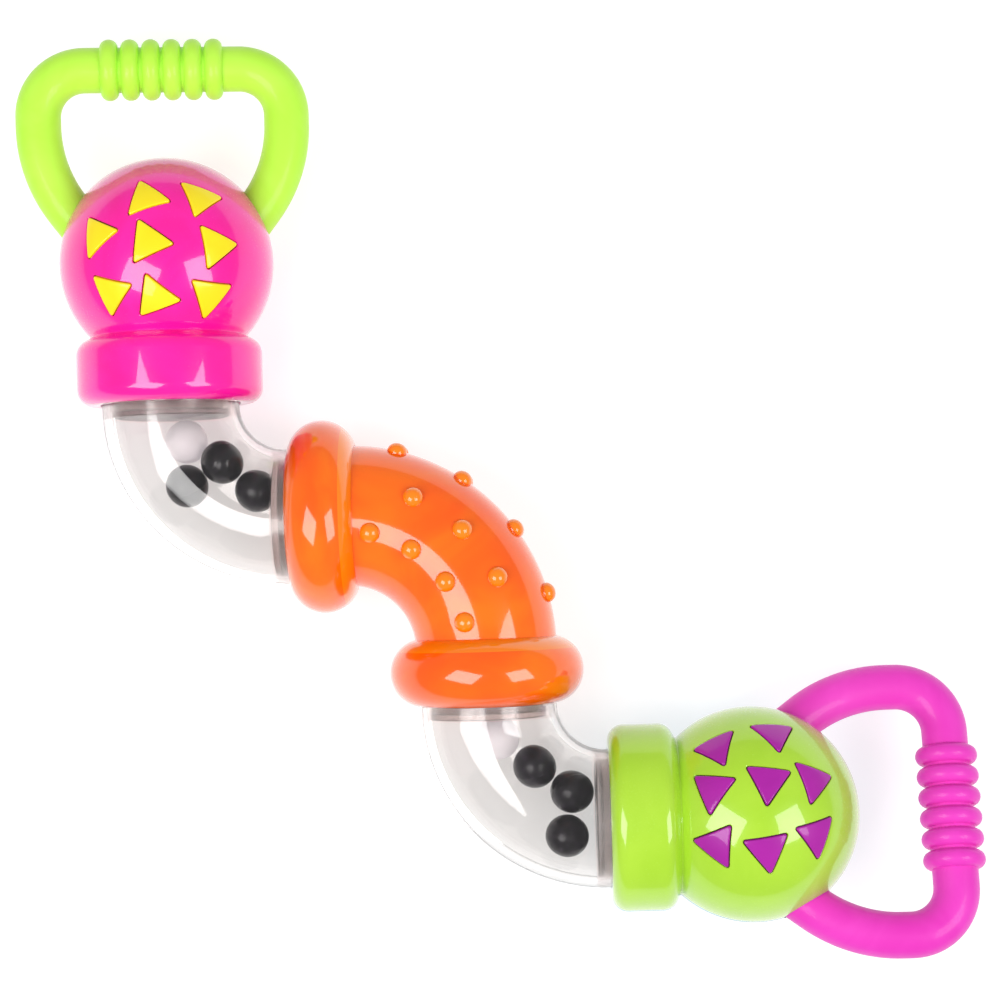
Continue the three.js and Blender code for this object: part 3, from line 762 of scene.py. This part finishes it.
TUBE_R = 17.05
TUBE_WALL = 2.1
CLEAR_BEND_R = 28.9
CLEAR_STUB = 0.2
RIM_R = 19.35
RIM_FROM, RIM_TO, TUBE_END = 3.3, 5.7, 7.7
RIM_EDGE = 0.3
TUBE_EDGE = 0.4
MOUTH_EDGE = 0.3
# A step in radius is drawn over this little length.
STEP = 0.001
GLUE_GAP = 0.03
CLEAR_SIDES = 96
CLEAR_STEPS = 60
END_BAND = 3.5


def front_half(shape, chamfer=0.0, seam_test=None):
    """Keeps what is in front of the middle plane, capped, its seam chamfered."""
    deselect()
    shape.select_set(True)
    bpy.context.view_layer.objects.active = shape
    bpy.ops.object.mode_set(mode="EDIT")
    bpy.ops.mesh.select_all(action="SELECT")
    bpy.ops.mesh.bisect(plane_co=(0, 0, 0), plane_no=(0, 0, 1), use_fill=True,
                        clear_inner=True, threshold=0.0005 * MM)
    if chamfer:
        select_where(shape, "EDGE", lambda m: abs(m.z) < ON_PLANE and seam_test(m))
        bpy.ops.mesh.bevel(offset=chamfer * MM, segments=2, affect="EDGES")
    tidy_mesh()
    bpy.ops.transform.translate(value=(0, 0, GLUE_GAP * MM))
    bpy.ops.object.mode_set(mode="OBJECT")
    return shape


# Half a turn about the line between an elbow's legs: the front half's place on
# the rear.
SWAP_SIDES = Matrix.Rotation(pi, 4, Vector((1, 1, 0)))


def clear_tube():
    """In the elbow's own frame: its axes cross at the origin, its legs point to
    +Y and +X."""
    face = CLEAR_BEND_R + CLEAR_STUB
    inner_r = TUBE_R - TUBE_WALL
    tube = Drawn("clear_tube", TUBE_R - TUBE_EDGE, CLEAR_SIDES, (0, face + TUBE_END), -90)

    def rim():
        tube.straight(STEP, RIM_R - RIM_EDGE)
        tube.straight(RIM_EDGE, RIM_R)
        tube.straight(RIM_TO - RIM_FROM - 2 * RIM_EDGE)
        tube.straight(RIM_EDGE, RIM_R - RIM_EDGE)
        tube.straight(STEP, TUBE_R)

    tube.straight(TUBE_EDGE, TUBE_R)
    tube.straight(TUBE_END - RIM_TO - TUBE_EDGE)
    rim()
    tube.straight(RIM_FROM + CLEAR_STUB - 2 * STEP)
    tube.bend(CLEAR_BEND_R, 90, CLEAR_STEPS)
    tube.straight(RIM_FROM + CLEAR_STUB - 2 * STEP)
    rim()
    tube.straight(TUBE_END - RIM_TO - TUBE_EDGE)
    tube.straight(TUBE_EDGE, TUBE_R - TUBE_EDGE)
    tube.straight(STEP, inner_r + MOUTH_EDGE)
    tube.straight(-MOUTH_EDGE, inner_r)
    tube.straight(-TUBE_END - CLEAR_STUB + MOUTH_EDGE)
    tube.heading += 180
    tube.bend(CLEAR_BEND_R, -90, CLEAR_STEPS)
    tube.straight(TUBE_END + CLEAR_STUB - MOUTH_EDGE)
    tube.straight(MOUTH_EDGE, inner_r + MOUTH_EDGE)
    return tube.closed(bridge=True)


def clear_plastic(name, tint, painted_end_tint, roughness=0.03, clearness=1.0):
    """Clear styrene: faint flow ripples, a little haze, the odd rub mark, and a
    duller band at each end with a streaky pink tint: painted colour, standing in for
    the pink of a neighbouring part seen in the clear plastic."""
    material, start = new_material(name)
    place = start.node("ShaderNodeTexCoord", output="Object")
    ripple = start.node("ShaderNodeTexNoise", {}, {
        "Vector": place, "Scale": 95.0, "Detail": 2.0, "Distortion": 0.8})
    haze = start.node("ShaderNodeTexNoise", {}, {
        "Vector": place, "Scale": 30.0, "Detail": 2.0})
    rubs = start.node("ShaderNodeTexNoise", {}, {
        "Vector": place, "Scale": 900.0, "Detail": 3.0, "Roughness": 0.7})
    streaks = start.node("ShaderNodeTexNoise", {}, {
        "Vector": place, "Scale": 210.0, "Detail": 2.0, "Distortion": 2.0})
    band = start.node("ShaderNodeAttribute", {"attribute_name": "weld_band"}, output="Fac")
    # The band at each end is duller, and painted with a streaky pink tint that stands in for a
    # pink part seen in the clear plastic.
    tinted_end_band = band.between(-0.05, 0.05) * (streaks.between(0.35, 0.65) * 0.4 + 0.6)
    bump = start.node("ShaderNodeBump", {}, {
        "Height": ripple, "Strength": 0.25, "Distance": 0.02 * MM})
    body = haze.between(0.3, 0.8).mixed(tint, (0.90, 0.885, 0.875, 1))
    finish_material(start, start.node("ShaderNodeBsdfPrincipled", {}, {
        "Base Color": tinted_end_band.mixed(body, painted_end_tint),
        "Roughness": rubs.between(0.60, 0.85) * 0.06 + tinted_end_band * 0.16 + roughness,
        "Normal": bump,
        "IOR": 1.49,
        "Transmission Weight": clearness,
    }))
    return material


def corner_of(elbow):
    """Where an elbow's two swivel axes cross."""
    if elbow == "upper":
        return Vector((joint_point("upper_head_swivel").x,
                       joint_point("upper_elbow_swivel").y, AXIS_HEIGHT))
    return Vector((joint_point("lower_elbow_swivel").x,
                   joint_point("lower_head_swivel").y, AXIS_HEIGHT))


# The second colour is the painted pink tint of the end bands.
clear = clear_plastic("clear_plastic", (0.885, 0.868, 0.858, 1), (0.91, 0.83, 0.81, 1))
half_tube = front_half(clear_tube())
# How far each point lies inside the end band with the painted pink tint.
weld_band = half_tube.data.attributes.new("weld_band", "FLOAT", "POINT")
for vertex in half_tube.data.vertices:
    from_face = max(vertex.co.x, vertex.co.y) / MM - CLEAR_BEND_R - CLEAR_STUB
    weld_band.data[vertex.index].value = from_face + END_BAND
for elbow in ("upper", "lower"):
    for side, turned_side in (("front", Matrix()), ("rear", SWAP_SIDES)):
        piece = copied(half_tube, f"{elbow}_{side}_clear_half_tube",
                       Matrix.Translation(corner_of(elbow)) @ turned_side)
        smoothed(piece, 40.0)
        finished(piece, clear, f"{elbow}_elbow", "clear_plastic",
                 f"{elbow}_clear_elbow_{side}")
bpy.data.objects.remove(half_tube)


# --------------------------------------------------------------- the plugs
# A shallow clear cup is snapped into each end of a clear elbow and closes the
# bead chamber: its ridge sits in a groove under the tube's rim.

PLUG_R = 14.5
PLUG_PROUD = 3.2
PLUG_WALL = 1.4
PLUG_DEPTH = 5.0
PLUG_EDGE = 0.35


def plug_cup():
    """In a socket's frame: the socket's face is at y = 0 and the cup's floor is
    on the bead chamber's side, towards -Y."""
    wall = PLUG_R - PLUG_WALL
    outline = softened([
        (0.0, -PLUG_PROUD), (PLUG_R, -PLUG_PROUD), (PLUG_R, PLUG_DEPTH),
        (wall, PLUG_DEPTH), (wall, PLUG_WALL - PLUG_PROUD), (0.0, PLUG_WALL - PLUG_PROUD),
    ], PLUG_EDGE)
    cup = spun("plug_cup", outline, 96)
    bpy.ops.object.mode_set(mode="OBJECT")
    return smoothed(cup, 40.0)


plug_plastic = clear_plastic("clear_plug_plastic", (0.99, 0.97, 0.96, 1), (0.99, 0.97, 0.96, 1),
                             roughness=0.16, clearness=0.92)
cup = plug_cup()
FACE_OUT = CLEAR_BEND_R + CLEAR_STUB
ON_Y = Matrix.Translation((0, FACE_OUT * MM, 0))
ON_X = Matrix.Rotation(-pi / 2, 4, "Z") @ ON_Y
for elbow, leg, place in (
    ("upper", "head", ON_Y), ("upper", "middle", ON_X),
    ("lower", "middle", ON_Y), ("lower", "head", ON_X),
):
    piece = copied(cup, f"{elbow}_{leg}_clear_cup",
                   Matrix.Translation(corner_of(elbow)) @ place)
    finished(piece, plug_plastic, f"{elbow}_elbow", "clear_plastic", f"{elbow}_{leg}_plug")
bpy.data.objects.remove(cup)


# --------------------------------------------------------------- the beads
# Loose moulded balls, three black and one white in each elbow, with a faint
# parting line and a gate mark where they came off the sprue.

BEAD_R = 5.5
PARTING_WIDTH = 0.10
PARTING_REACH = 0.04
PARTING_SWELL = 1.006
GATE_REACH = 0.1
GATE_DEPTH = 0.12


def loose_bead():
    bead = fresh("loose_bead")
    bpy.ops.mesh.primitive_uv_sphere_add(segments=48, ring_count=32, radius=BEAD_R * MM)
    select_where(bead, "EDGE", lambda m: abs(m.z) < ON_PLANE)
    bpy.ops.mesh.bevel(offset=PARTING_WIDTH * MM, segments=3, affect="EDGES")
    select_where(bead, "VERT", lambda m: abs(m.z) < PARTING_REACH)
    bpy.ops.transform.resize(value=(PARTING_SWELL, PARTING_SWELL, 1),
                             center_override=(0, 0, 0))
    select_where(bead, "FACE", lambda m: m.z > BEAD_R - GATE_REACH)
    bpy.ops.mesh.extrude_region_move(
        TRANSFORM_OT_translate={"value": (0, 0, -GATE_DEPTH * MM)})
    tidy_mesh()
    bpy.ops.object.mode_set(mode="OBJECT")
    return smoothed(bead, 40.0)


black = moulded_plastic("black_bead_plastic", colour_of(36, 28, 40), colour_of(26, 20, 30),
                        colour_of(46, 38, 50), roughness=0.30, coat=0.4)
# The white beads get a painted glow, standing in for light let through them.
white = moulded_plastic("white_bead_plastic", colour_of(250, 242, 246),
                        colour_of(244, 234, 240), colour_of(252, 248, 250),
                        roughness=0.34, coat=0.2, painted_glow=0.35)
bead = loose_bead()
for node in sorted(n for n in frame["nodes"] if "bead" in n):
    low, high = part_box(node)
    lean = Matrix.Rotation(0.7 * len(node) + 1.9 * ord(node[-1]), 4, Vector((2, 1, 0.5)))
    piece = copied(bead, node.replace("bead", "ball"),
                   Matrix.Translation((low + high) / 2) @ lean)
    shade = "white" if "white" in node else "black"
    finished(piece, white if shade == "white" else black, node,
             f"{shade}_bead_plastic", node)
bpy.data.objects.remove(bead)


# -------------------------------------------------------- the orange elbow
# The middle of the toy: two glossy moulded halves glued along the bend, with a
# fat round ring at each end that holds a clear elbow, and rows of small domes
# for gumming, painted yellower towards their tops: painted light, standing in for
# light let through them.

ORANGE_R = 17.6
ORANGE_WALL = 2.3
ORANGE_BEND_R = 33.8
ORANGE_STUB = 5.8
RING_CROWN = 8.25
RING_HALF = 8.5
RING_MIDDLE_R = 15.85
RING_STEPS = 28
DOME_R = 2.5
DOME_PROUD = 2.2
# How far round each row lies from the outside of the bend, and where along it.
DOME_ROWS = (
    (13, (15, 35, 55, 75)), (65, (25, 45, 65)), (103, (13, 34, 56, 77)),
)
RING_FACE = RING_HALF * sqrt(1 - ((BORE_R - RING_MIDDLE_R) / RING_CROWN) ** 2)
RING_OUT = ORANGE_BEND_R + ORANGE_STUB


def orange_elbow():
    inner_r = ORANGE_R - ORANGE_WALL
    first = asin((BORE_R - RING_MIDDLE_R) / RING_CROWN)
    last = pi - asin((ORANGE_R - RING_MIDDLE_R) / RING_CROWN)
    turns = [first + (last - first) * i / RING_STEPS for i in range(RING_STEPS + 1)]
    crown = [(RING_HALF * cos(t), RING_MIDDLE_R + RING_CROWN * sin(t)) for t in turns]
    tube = Drawn("orange_tube", BORE_R, CLEAR_SIDES, (0, RING_OUT + RING_FACE), -90)
    for (at, _), (to, radius) in zip(crown, crown[1:]):
        tube.straight(at - to, radius)
    plain = ORANGE_STUB + crown[-1][0]
    tube.straight(plain)
    tube.bend(ORANGE_BEND_R, 90, CLEAR_STEPS)
    tube.straight(plain)
    back = list(reversed(crown))
    for (at, _), (to, radius) in zip(back, back[1:]):
        tube.straight(to - at, radius)
    tube.straight(-GROOVE_FROM)
    tube.straight(-STEP, GROOVE_R)
    tube.straight(GROOVE_FROM - GROOVE_TO)
    tube.straight(-STEP, BORE_R)
    tube.straight(GROOVE_TO - SOCKET_DEPTH)
    tube.straight(-STEP, inner_r)
    tube.straight(SOCKET_DEPTH - RING_FACE - ORANGE_STUB + 3 * STEP)
    tube.heading += 180
    tube.bend(ORANGE_BEND_R, -90, CLEAR_STEPS)
    tube.straight(RING_FACE + ORANGE_STUB - SOCKET_DEPTH - 3 * STEP)
    tube.straight(STEP, BORE_R)
    tube.straight(SOCKET_DEPTH - GROOVE_TO)
    tube.straight(STEP, GROOVE_R)
    tube.straight(GROOVE_TO - GROOVE_FROM)
    tube.straight(STEP, BORE_R)
    tube.straight(GROOVE_FROM)
    shape = tube.closed()

    dome = spun("dome", arc(0, 0, DOME_R, 90, 0, 10, DOME_PROUD) + [(DOME_R, -1.0), (0.0, -1.0)],
                32)
    bpy.ops.object.mode_set(mode="OBJECT")
    domes = []
    for around, places in DOME_ROWS:
        for side in (-1, 1):
            lean = (
                Matrix.Translation((-ORANGE_BEND_R * MM, 0, 0))
                @ Matrix.Rotation(side * radians(around), 4, "Y")
                @ Matrix.Translation((-ORANGE_R * MM, 0, 0))
                @ Matrix.Rotation(pi / 2, 4, "Z")
            )
            centre = Matrix.Translation((ORANGE_BEND_R * MM, ORANGE_BEND_R * MM, 0))
            for angle in places:
                bearing = Matrix.Rotation(radians(angle), 4, "Z")
                domes.append(copied(dome, f"dome_{len(domes)}", centre @ bearing @ lean))
    bpy.data.objects.remove(dome)
    return combined(shape, joined("domes", domes), "UNION")


def above_tube(point):
    """How far a point, in mm, stands out of the bend's round tube."""
    flat = Vector((ORANGE_BEND_R - point.x, ORANGE_BEND_R - point.y, 0))
    if flat.x < 0 or flat.y < 0:
        return 0.0
    return Vector((flat.length - ORANGE_BEND_R, point.z)).length - ORANGE_R


def orange_plastic():
    """Glossy orange, red-orange all over, with painted light on the domes: yellower
    towards their tops, standing in for light let through the slightly see-through plastic."""
    material, start = new_material("orange_plastic")
    place = start.node("ShaderNodeTexCoord", output="Object")
    dome = start.node("ShaderNodeAttribute", {"attribute_name": "dome_height"}, output="Fac")
    swirl = start.node("ShaderNodeTexNoise", {}, {
        "Vector": place, "Scale": 38.0, "Detail": 3.0, "Distortion": 1.2})
    bloom = start.node("ShaderNodeTexNoise", {}, {
        "Vector": place, "Scale": 16.0, "Detail": 2.0})
    peel = start.node("ShaderNodeTexNoise", {}, {
        "Vector": place, "Scale": 480.0, "Detail": 2.0})
    rubs = start.node("ShaderNodeTexNoise", {}, {
        "Vector": place, "Scale": 1400.0, "Detail": 3.0, "Roughness": 0.7})
    body = swirl.between(0.30, 0.72).mixed(colour_of(255, 92, 2), colour_of(255, 116, 4))
    body = (bloom.between(0.45, 0.85) * 0.5).mixed(body, colour_of(255, 100, 4))
    # Painted light: the domes are coloured yellower towards their tops, standing in for light
    # let through them.
    body = (dome.between(0.02, 0.25) * 0.75).mixed(body, colour_of(255, 142, 16))
    bump = start.node("ShaderNodeBump", {}, {
        "Height": peel + rubs * 0.3, "Strength": 0.22, "Distance": 0.012 * MM})
    finish_material(start, start.node("ShaderNodeBsdfPrincipled", {}, {
        "Base Color": body,
        "Roughness": rubs.between(0.56, 0.80) * 0.08 + 0.16,
        "Normal": bump,
        "IOR": 1.5,
        "Specular IOR Level": 0.2,
        "Coat Weight": 1.0,
        "Coat Roughness": 0.04,
    }))
    return material


def outside_orange(middle):
    """True on the outer edge of the seam, away from the sockets."""
    flat = Vector((ORANGE_BEND_R - middle.x, ORANGE_BEND_R - middle.y, 0))
    if flat.x >= 0 and flat.y >= 0:
        return abs(flat.length - ORANGE_BEND_R) > ORANGE_R - 0.3
    return min(abs(middle.x), abs(middle.y)) > ORANGE_R - 0.4 and (
        max(middle.x, middle.y) < RING_OUT + RING_FACE - GROOVE_TO - 0.5
        or min(abs(middle.x), abs(middle.y)) > GROOVE_R + 0.3)


half = front_half(orange_elbow(), SEAM_CHAMFER, outside_orange)
# Each dome's height, kept for the painted light on the domes.
height = half.data.attributes.new("dome_height", "FLOAT", "POINT")
for vertex in half.data.vertices:
    height.data[vertex.index].value = max(0.0, above_tube(vertex.co / MM)) / DOME_PROUD
orange = orange_plastic()
middle_corner = Matrix.Translation((
    joint_point("lower_elbow_swivel").x, joint_point("upper_elbow_swivel").y, AXIS_HEIGHT))
legs_back = middle_corner @ Matrix.Rotation(pi, 4, "Z")
for side, turned_side in (("front", Matrix()), ("rear", SWAP_SIDES)):
    piece = copied(half, f"orange_{side}_half_elbow", legs_back @ turned_side)
    smoothed(piece, 34.0)
    finished(piece, orange, "orange_elbow", "orange_plastic", f"orange_elbow_{side}")
bpy.data.objects.remove(half)


deselect()
low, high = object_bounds()
